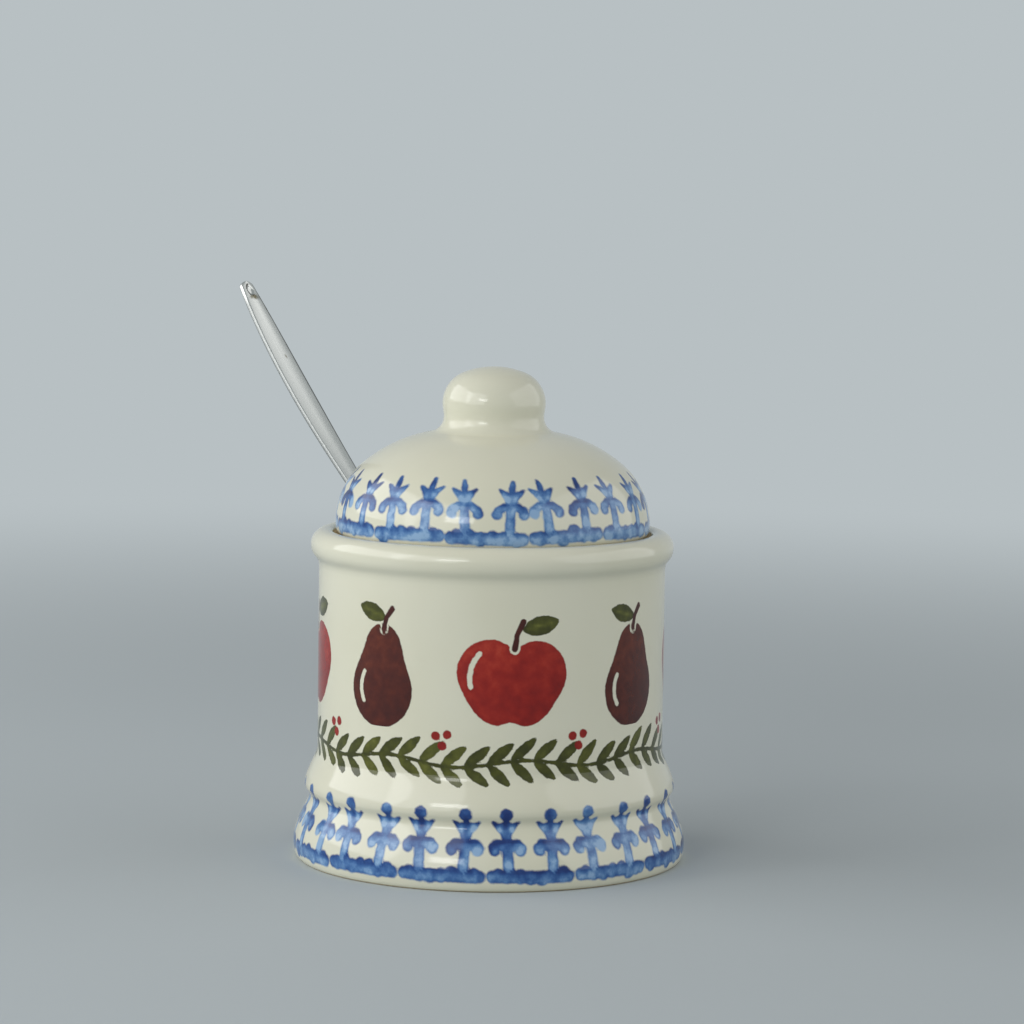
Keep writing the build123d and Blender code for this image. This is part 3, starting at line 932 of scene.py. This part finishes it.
def glazed_earthenware(name, paints):
    """Cream slip-cast earthenware under a clear dipped glaze: soft gloss, highlights that waver where the
    glaze ran, sponged colour that is thick at its edges, and buff clay where the glaze was wiped off, its
    buff also standing as painted shade in the lid's seam and at the foot."""
    material, tree = new_material(name)
    place = add(tree, "TexCoord", {}, {})["Object"]
    noises = []
    for size, detail in (CREAM_CLOUDS, SPONGE_HOLES, STROKE_MOTTLE, CLAY_GRAIN, GLAZE_RUNS):
        pattern = {"Vector": place, "Scale": per_metre(size), "Detail": detail}
        noises.append(add(tree, "TexNoise", {}, pattern)["Fac"])
    clouds, holes, mottle, grain, runs = noises
    colour = add(tree, "Mix", COLOURS, {0: clouds, 6: linear(CREAM_LIGHT), 7: linear(CREAM_DEEP)})[2]
    for layer, wash, depth, softness, raggedness in paints:
        distance = add(tree, "Attribute", {"attribute_name": layer}, {})["Fac"]
        strength = add(tree, "Attribute", {"attribute_name": layer + "_strength"}, {})["Fac"]
        ragged = add(tree, "Math", SCALED_SUM, {0: holes, 1: raggedness, 2: -raggedness / 2})[0]
        edge = add(tree, "Math", {"operation": "ADD"}, {0: distance, 1: ragged})[0]
        inwards = {"Value": edge, "From Min": softness, "From Max": -softness}
        cover = add(tree, "MapRange", SMOOTH, inwards)["Result"]
        rim = add(tree, "MapRange", SMOOTH, {"Value": edge, **GATHERED})["Result"]
        body = add(tree, "Math", {"operation": "ADD"}, {0: strength, 1: rim})[0]
        laid = add(tree, "Math", SCALED_SUM, {0: mottle, 1: MOTTLE, 2: body})[0]
        thickness = {
            "Value": laid,
            "From Min": MOTTLE / 2,
            "From Max": 1 + MOTTLE / 2,
            "To Min": 1.0,
            "To Max": 1 + depth,
        }
        deepened = add(tree, "MapRange", {}, thickness)["Result"]
        shade = add(tree, "Gamma", {}, {"Color": linear(wash), "Gamma": deepened})[0]
        colour = add(tree, "Mix", COLOURS, {0: cover, 6: colour, 7: shade})[2]
    # Bare clay, whose buff also stands as painted shade in the lid's seam and at the foot
    bare_clay_and_shade = add(tree, "Attribute", {"attribute_name": "bare_clay_and_shade"}, {})["Fac"]
    speck = add(tree, "MapRange", {}, {"Value": grain, **SPECKS})["Result"]
    clay = add(tree, "Mix", COLOURS, {0: speck, 6: linear(BUFF_AND_SHADE), 7: linear(BUFF_SPECK)})[2]
    colour = add(tree, "Mix", COLOURS, {0: bare_clay_and_shade, 6: colour, 7: clay})[2]
    gloss = add(tree, "MapRange", {}, {"Value": bare_clay_and_shade, **GLAZE_TO_CLAY})["Result"]
    waves = {"Height": runs, "Strength": RIPPLE_STRENGTH, "Distance": RIPPLE_HEIGHT * MM}
    ripple = add(tree, "Bump", {}, waves)["Normal"]
    finish = {"Base Color": colour, "Roughness": gloss, "IOR": GLAZE_IOR, "Normal": ripple}
    surface = add(tree, "BsdfPrincipled", {}, finish)["BSDF"]
    add(tree, "OutputMaterial", {}, {"Surface": surface})
    return material


def worn_steel(name):
    """Pressed stainless steel, brushed lightly along its length and dulled by use: soft grey reflections with
    fine streaks, sheared sides that are duller than the faces and darker as painted shade, tarnish near
    the end of the handle, and painted shade in a line down one edge and in a crescent round the dimple."""
    material, tree = new_material(name)
    along, across, tarnish, painted_shade, dull_and_shaded = (
        add(tree, "Attribute", {"attribute_name": layer}, {})["Fac"]
        for layer in ("along", "across", "tarnish", "painted_shade", "dull_and_shaded")
    )
    place = add(tree, "CombineXYZ", {}, {"X": along, "Y": across})["Vector"]
    streaks = (1 / STREAK_LENGTH, 1 / STREAK_WIDTH, 1.0)
    stretched = add(tree, "VectorMath", {"operation": "MULTIPLY"}, {0: place, 1: streaks})[0]
    brushing = {"Vector": stretched, "Scale": 1.0, "Detail": STREAK_DETAIL}
    brush = add(tree, "TexNoise", {}, brushing)["Fac"]
    staining = {"Vector": place, "Scale": 1 / STAIN_SIZE, "Detail": STAIN_DETAIL}
    clouds = add(tree, "TexNoise", {}, staining)["Fac"]
    clamped = {"operation": "MULTIPLY", "use_clamp": True}
    stain = add(tree, "Math", clamped, {0: tarnish, 1: clouds})[0]
    stained = add(tree, "MapRange", SMOOTH, {"Value": stain, **STAINED})["Result"]
    # Painted shade in a line down one edge and in a crescent round the dimple
    painted_shade_share = add(tree, "MapRange", SMOOTH, {"Value": painted_shade, **PAINTED_SHADE_SPAN})["Result"]
    colour = linear(STEEL)
    # Tarnish, then painted shade, then the sheared sides, which are rougher and darker as painted shade
    for share, tone in ((stained, TARNISH), (painted_shade_share, PAINTED_SHADE_STEEL), (dull_and_shaded, SHEARED_SHADED_STEEL)):
        colour = add(tree, "Mix", COLOURS, {0: share, 6: colour, 7: linear(tone)})[2]
    polish = add(tree, "MapRange", {}, {"Value": brush, **STREAKED})["Result"]
    sheared = {"Value": dull_and_shaded, "To Min": polish, "To Max": SHEARED_ROUGHNESS}
    gloss = add(tree, "MapRange", {}, sheared)["Result"]
    finish = {"Base Color": colour, "Metallic": 1.0, "Roughness": gloss}
    surface = add(tree, "BsdfPrincipled", {}, finish)["BSDF"]
    add(tree, "OutputMaterial", {}, {"Surface": surface})
    return material


# Pieces

# Bare clay, whose buff also stands as painted shade in the lid's seam and at the foot: how high it
# comes up the foot ring, and how far it spreads past the seats. Its rings are taken a little past the piece.
FOOT_BARE_Z = 0.35
POT_SEAT_BARE = 0.2
LID_SEAT_BARE = 0.15
BARE_PAST = 1


def unglazed_and_shaded(surface, low, high, inner, outer):
    """1 at the vertices in a ring between two heights and two radii, and 0 elsewhere."""
    in_height = (surface.height > low) & (surface.height < high)
    return (in_height & (surface.radius > inner) & (surface.radius < outer)).astype(float)


def make_pot():
    """The pot, turned, sponged, painted, and glazed all over but for its foot ring and the lid's seat."""
    piece = turn_on_wheel("pot_glazed", pot_outline(), POT_STEPS)
    surface = Surface(piece, pot_side())
    sponge_border(surface, **BASE_BORDER).keep(piece, "cobalt")
    for name, paint in zip(("brick", "russet", "olive"), fruit_band(surface)):
        paint.keep(piece, name)
    # Bare clay at the foot ring and the lid's seat, its buff also painted shade at the foot and in the seam
    foot_ring = unglazed_and_shaded(surface, -BARE_PAST, FOOT_BARE_Z, 0, BASE_RADIUS)
    seat = unglazed_and_shaded(surface, MOUTH_LOW_Z, SEAT_Z + POT_SEAT_BARE, 0, GALLERY_RADIUS + POT_SEAT_BARE)
    store(piece, "bare_clay_and_shade", np.maximum(foot_ring, seat))
    piece.data.materials.append(glazed_earthenware("pot_glaze", (OLIVE, BRICK, RUSSET, COBALT)))
    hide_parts("pot")
    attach(piece, "pot")


def notch_cutter():
    """A solid arch that cuts the notch for the spoon through the edge of the lid."""
    half = NOTCH_WIDTH / 2
    low_z = FLANGE_LOW_Z - half
    arch = [(-y, z) for y, z in arc((0, NOTCH_TOP_Z - half), half, 0, 180, NOTCH_SPACING)]
    outline = [(-half, low_z), *arch, (half, low_z)]
    shape = bmesh.new()
    corners = [shape.verts.new((NOTCH_REACH[0] * MM, y * MM, z * MM)) for y, z in outline]
    face = shape.faces.new(corners)
    pushed = bmesh.ops.extrude_face_region(shape, geom=[face])
    moved = [item for item in pushed["geom"] if isinstance(item, bmesh.types.BMVert)]
    bmesh.ops.translate(shape, verts=moved, vec=((NOTCH_REACH[1] - NOTCH_REACH[0]) * MM, 0, 0))
    bmesh.ops.recalc_face_normals(shape, faces=shape.faces)
    return make_object("notch_cutter", shape)


def notch_distance(places):
    """How far points lie outside the notch's outline, seen along X, on the spoon's side of the lid."""
    half = NOTCH_WIDTH / 2
    above_spring = np.maximum(places[:, 2] - (NOTCH_TOP_Z - half), 0)
    distance = np.hypot(places[:, 1], above_spring) - half
    return np.where(places[:, 0] < 0, distance, np.inf)


def refine_notch(piece):
    """Halves the mesh beside the notch's outline, so that its edges can be rounded."""
    shape = bmesh.new()
    shape.from_mesh(piece.data)
    far = np.abs(notch_distance(vertex_places(piece))) > NOTCH_BORDER
    near = [edge for edge in shape.edges if not (far[edge.verts[0].index] or far[edge.verts[1].index])]
    bmesh.ops.subdivide_edges(shape, edges=near, cuts=1, use_grid_fill=True)
    shape.to_mesh(piece.data)
    shape.free()


def round_notch(piece):
    """Rounds the edges of the notch over, as glaze does, by sinking the skin beside them along the cut."""
    places = vertex_places(piece)
    near = np.clip(notch_distance(places), 0, NOTCH_ROUND)
    sink = NOTCH_ROUND - np.sqrt(NOTCH_ROUND**2 - (NOTCH_ROUND - near) ** 2)
    radius = np.hypot(places[:, 0], places[:, 1])
    above_edge = np.maximum(places[:, 2] - SHOULDER_CENTRE[1], 0)
    from_centre = np.hypot(radius - SHOULDER_CENTRE[0], above_edge)
    in_flange = (places[:, 2] < SEAT_Z + LEVEL) & (radius < FLANGE_RADIUS + LEVEL)
    outside_flange = radius > (FLANGE_BORE + FLANGE_RADIUS) / 2
    outside_dome = (from_centre > SHOULDER_RADIUS - LID_WALL / 2) | (places[:, 2] < SEAT_Z + LEVEL)
    sink = np.where(in_flange, NOTCH_FLANGE_SHARE * sink, sink)
    places[:, 0] += np.where(np.where(in_flange, outside_flange, outside_dome), sink, -sink)
    piece.data.vertices.foreach_set("co", (places * MM).ravel())
    piece.data.update()


def make_lid():
    """The lid, turned, notched, sponged, and glazed all over but for its seat and flange."""
    piece = turn_on_wheel("lid_glazed", lid_outline(), LID_STEPS)
    refine_notch(piece)
    cutter = notch_cutter()
    cut = piece.modifiers.new("notch", "BOOLEAN")
    cut.object = cutter
    cut.solver = "EXACT"
    make_real(piece)
    bpy.data.objects.remove(cutter)
    piece.data.shade_smooth()
    surface = Surface(piece, lid_side())
    sponge_border(surface, **LID_BORDER).keep(piece, "cobalt")
    # Bare clay at the seat and the flange, its buff also painted shade in the seam
    bare_low = FLANGE_LOW_Z - BARE_PAST
    bare_clay_and_shade = unglazed_and_shaded(surface, bare_low, SEAT_Z + LID_SEAT_BARE, FLANGE_BORE + BARE_PAST, LID_RADIUS)
    store(piece, "bare_clay_and_shade", bare_clay_and_shade)
    round_notch(piece)
    piece.data.materials.append(glazed_earthenware("lid_glaze", (COBALT,)))
    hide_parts("lid")
    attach(piece, "lid")


# Spoon: it is shaped station by station, and each station's section runs right round its front and back.

BOWL_AXIS = ((BOWL_WIDTH / 2) ** 2 - BOWL_DEPTH**2) / (2 * BOWL_DEPTH)


def eased(x, first, last):
    """A smooth curve between two stations, each given by its place, its value and its slope."""
    run = last[0] - first[0]
    t = np.clip((x - first[0]) / run, 0, 1)
    bend = first[2] * t * (1 - t) ** 2 - last[2] * t**2 * (1 - t)
    return first[1] + (last[1] - first[1]) * t**2 * (3 - 2 * t) + run * bend


def larger(first, second, reach):
    """The larger of two values, with the corner where they cross rounded over that reach."""
    return (first + second + np.hypot(first - second, reach)) / 2


def bowl_depth(along):
    """How far the outside of the bowl lies below its rim, along its middle."""
    reach = np.where(along < BOWL_BELLY, BOWL_BELLY, BOWL_LENGTH - BOWL_BELLY)
    radius = (reach**2 + BOWL_DEPTH**2) / (2 * BOWL_DEPTH)
    run = np.clip(np.abs(along - BOWL_BELLY), 0, reach)
    return np.sqrt(radius**2 - run**2) - radius + BOWL_DEPTH


def handle_half(along):
    """Half the width of the handle, from its neck to its round end."""
    end_half = HANDLE_END_WIDTH / 2
    neck = (NECK_AT, NECK_WIDTH / 2, 0)
    shank = (SHANK_AT, SHANK_WIDTH / 2, SHANK_SLOPE)
    widest = (WIDEST_AT, HANDLE_WIDTH / 2, 0)
    end = (SPOON_LENGTH - HANDLE_END_DEPTH, end_half, -HANDLE_END_SLOPE)
    round_end = end_half * np.sqrt(np.maximum(1 - ((along - end[0]) / HANDLE_END_DEPTH) ** 2, 0))
    spans = [along < NECK_AT, along < SHANK_AT, along < WIDEST_AT, along < end[0]]
    widths = [0 * along, eased(along, neck, shank), eased(along, shank, widest), eased(along, widest, end)]
    return np.select(spans, widths, round_end)


def spoon_half(along):
    """Half the width of the whole spoon, with the handle run into the bowl."""
    bowl = np.sqrt((BOWL_AXIS + bowl_depth(along)) ** 2 - BOWL_AXIS**2)
    blend = NECK_BLEND * np.exp(-(((along - BOWL_LENGTH) / NECK_BLEND_REACH) ** 2))
    return larger(bowl, handle_half(along), blend)


def rounded_off(inset, width, depth):
    """How far a rounded edge falls away at each distance in from the outline."""
    share = 1 - np.clip(inset / width, 0, 1)
    return depth * (1 - np.sqrt(1 - share**2))


def spoon_faces(along, across, half, slope):
    """How far the front and the back of the spoon lie behind its rim."""
    depth = bowl_depth(along)
    outer = np.sqrt(np.maximum((BOWL_AXIS + depth) ** 2 - across**2, BOWL_AXIS**2)) - BOWL_AXIS
    inner = np.sqrt(np.maximum((BOWL_AXIS + depth - SPOON_GAUGE) ** 2 - across**2, 0)) - BOWL_AXIS
    strip = eased(along, (STRIP_FROM, 0, 0), (STRIP_FULL, 1, 0))
    inset = (half - np.abs(across)) / np.hypot(1, slope)
    crown = FACE_CROWN * (across / np.maximum(half, FRONT_EDGE[0])) ** 2
    oval = ((along - DIMPLE_AT) / DIMPLE_LENGTH) ** 2 + (across / DIMPLE_WIDTH) ** 2
    dimple = DIMPLE_DEPTH * np.clip(DIMPLE_STEEPNESS * (1 - 4 * oval), 0, 1)
    face = rounded_off(inset, *FRONT_EDGE) + crown
    front = (1 - strip) * larger(inner, 0, BOWL_RIM_ROUND) + strip * face + dimple
    back = np.maximum(outer, strip * SPOON_GAUGE) - strip * rounded_off(inset, *BACK_EDGE)
    return np.minimum(front, back), back


def tarnish_on_spoon(along, across):
    """Where tarnish has gathered on the front of the spoon."""
    from_end = SPOON_LENGTH - along
    return sum(tone * glow(from_end, across, place, reach) for tone, place, reach in TARNISH_PLACES)


def painted_shade_on_spoon(along, across, half):
    """Painted shade on the front of the spoon: down one edge, and in a crescent round part of its dimple."""
    to_end = (along - DIMPLE_AT) / (DIMPLE_LENGTH / 2)
    to_side = across / (DIMPLE_WIDTH / 2)
    ring = np.exp(-(((np.hypot(to_end, to_side) - CRESCENT_RADIUS) / CRESCENT_WIDTH) ** 2))
    share = np.clip(CRESCENT_BELOW + CRESCENT_TO_END * to_end - CRESCENT_TO_SIDE * to_side, 0, 1)
    return np.maximum(across / np.maximum(half, EDGE_DRAFT), ring * share)


def make_spoon():
    """The spoon, pressed from a flat grid that is wrapped round its front and back."""
    shape = bmesh.new()
    bmesh.ops.create_grid(shape, x_segments=SPOON_STATIONS, y_segments=SPOON_AROUND, size=1)
    piece = make_object("spoon_pressed", shape)
    station, turn = vertex_places(piece)[:, :2].T * MM
    along = SPOON_LENGTH * (1 + np.sin(station * pi / 2)) / 2
    half = spoon_half(along)
    slope = (spoon_half(along + SLOPE_STEP) - spoon_half(along - SLOPE_STEP)) / (2 * SLOPE_STEP)
    facing = np.abs(turn) < 0.5
    across = np.maximum(half - EDGE_DRAFT * facing, 0) * np.sin(turn * pi)
    front, back = spoon_faces(along, across, half, slope)
    rise = TURN_UP_RADIUS - np.sqrt(TURN_UP_RADIUS**2 - np.maximum(along - TURN_UP_AT, 0) ** 2)
    height = rise - np.where(facing, front, back)
    forward = Vector((0, 1, 0)).cross(SPOON_AXIS)
    places = np.array(BOWL_TIP) + np.outer(along, SPOON_AXIS) + np.outer(height, forward)
    places[:, 1] += across
    piece.data.vertices.foreach_set("co", (places * MM).ravel())
    shape = bmesh.new()
    shape.from_mesh(piece.data)
    layers = {
        "along": along,
        "across": across,
        "tarnish": facing * tarnish_on_spoon(along, across),
        # Painted shade down one edge and round the dimple
        "painted_shade": facing * painted_shade_on_spoon(along, across, half),
        # The sheared sides: rougher, and darker as painted shade except near the end
        "dull_and_shaded": (np.abs(np.sin(turn * pi)) > DULL_SHADED_SIDE) * eased(SPOON_LENGTH - along, BRIGHT_END, DULL_SHADED_FROM),
    }
    for name, values in layers.items():
        layer = shape.verts.layers.float.new(name)
        for vertex, value in zip(shape.verts, values):
            vertex[layer] = value
    bmesh.ops.remove_doubles(shape, verts=shape.verts, dist=MERGE)
    bmesh.ops.recalc_face_normals(shape, faces=shape.faces)
    shape.to_mesh(piece.data)
    shape.free()
    piece.data.shade_smooth()
    piece.data.set_sharp_from_angle(angle=radians(SHARP_ANGLE))
    piece.data.materials.append(worn_steel("spoon_steel"))
    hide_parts("spoon")
    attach(piece, "spoon")


# Stage

# The floor fades into the backdrop between two distances from the pot, all in metres.
FLOOR_SIZE = 6.0
FADED = {"From Min": 0.25, "From Max": 0.9}
PAPER_ROUGHNESS = 0.8
ROOM_LIGHT = "#E6E9EA"
ROOM_POWER = 0.3

# Soft panels: degrees round from the camera and up, metres away, wide and high, and watts
PANELS = (
    ("key", -89, 26, 0.95, 1.14, 0.6, 4.5),
    ("front_left", -44, 22, 1.2, 1.0, 0.8, 4.4),
    ("card", -25, 20, 1.3, 0.45, 0.2, 1.5),
    ("fill", 85, 22, 1.2, 1.9, 1.2, 7.0),
)
PANEL_TARGET = Vector((0, 0, 0.06))


def seen_directly(tree):
    """1 for what the camera sees, straight, mirrored or through glass, and 0 for light on its way."""
    path = add(tree, "LightPath", {}, {})
    larger_of = {"operation": "MAXIMUM"}
    seen = add(tree, "Math", larger_of, {0: path["Is Camera Ray"], 1: path["Is Glossy Ray"]})[0]
    return add(tree, "Math", larger_of, {0: seen, 1: path["Is Transmission Ray"]})[0]


def set_stage():
    """A plain pale paper floor, which fades into the backdrop some way behind the pot."""
    shape = bmesh.new()
    bmesh.ops.create_grid(shape, x_segments=1, y_segments=1, size=FLOOR_SIZE)
    floor = make_object("floor", shape)
    material, tree = new_material("studio_floor")
    place = add(tree, "TexCoord", {}, {})["Object"]
    radius = add(tree, "VectorMath", {"operation": "LENGTH"}, {0: place})["Value"]
    fade = add(tree, "MapRange", SMOOTH, {"Value": radius, **FADED})["Result"]
    seen = seen_directly(tree)
    share = add(tree, "Math", {"operation": "MULTIPLY"}, {0: fade, 1: seen})[0]
    finish = {"Base Color": linear(BACKDROP), "Roughness": PAPER_ROUGHNESS}
    paper = add(tree, "BsdfPrincipled", {}, finish)["BSDF"]
    backdrop = add(tree, "Emission", {}, {"Color": linear(BACKDROP), "Strength": 1.0})["Emission"]
    surface = add(tree, "MixShader", {}, {0: share, 1: paper, 2: backdrop})["Shader"]
    add(tree, "OutputMaterial", {}, {"Surface": surface})
    floor.data.materials.append(material)


def set_world():
    """Soft light from all round, behind a plain backdrop."""
    world = bpy.data.worlds.new("studio")
    bpy.context.scene.world = world
    world.use_nodes = True
    tree = world.node_tree
    tree.nodes.clear()
    room = add(tree, "Background", {}, {"Color": linear(ROOM_LIGHT), "Strength": ROOM_POWER})[0]
    backdrop = add(tree, "Background", {}, {"Color": linear(BACKDROP), "Strength": 1.0})[0]
    surface = add(tree, "MixShader", {}, {0: seen_directly(tree), 1: room, 2: backdrop})["Shader"]
    add(tree, "OutputWorld", {}, {"Surface": surface})


def add_panel(name, turn, rise, distance, width, height, power):
    """A soft studio panel at an angle round from the camera and an angle up, facing the pot."""
    panel = bpy.data.lights.new(name, "AREA")
    panel.shape = "RECTANGLE"
    panel.size = width
    panel.size_y = height
    panel.energy = power
    lamp = bpy.data.objects.new(name, panel)
    around = radians(VIEW_TURN + turn)
    up = radians(rise)
    way = Vector((sin(around) * cos(up), -cos(around) * cos(up), sin(up)))
    lamp.location = PANEL_TARGET + distance * way
    lamp.rotation_euler = way.to_track_quat("Z", "Y").to_euler()
    bpy.context.scene.collection.objects.link(lamp)


def set_camera():
    """The camera, at the photograph's viewing angle."""
    camera = bpy.data.cameras.new("camera")
    camera.lens = LENS
    camera.sensor_width = SENSOR
    camera.clip_start = CAMERA_NEAR
    view = bpy.data.objects.new("camera", camera)
    turn = radians(VIEW_TURN)
    place = Vector((CAMERA_DISTANCE * sin(turn), -CAMERA_DISTANCE * cos(turn), CAMERA_HEIGHT))
    view.matrix_world = (
        Matrix.Translation(place)
        @ Matrix.Rotation(radians(VIEW_TURN - CAMERA_YAW), 4, "Z")
        @ Matrix.Rotation(radians(90 - CAMERA_PITCH), 4, "X")
        @ Matrix.Rotation(radians(CAMERA_ROLL), 4, "Z")
    )
    bpy.context.scene.collection.objects.link(view)
    bpy.context.scene.camera = view


make_pot()
make_lid()
make_spoon()
set_stage()
set_world()
for panel in PANELS:
    add_panel(*panel)
set_camera()
bpy.context.scene.view_settings.view_transform = "Standard"
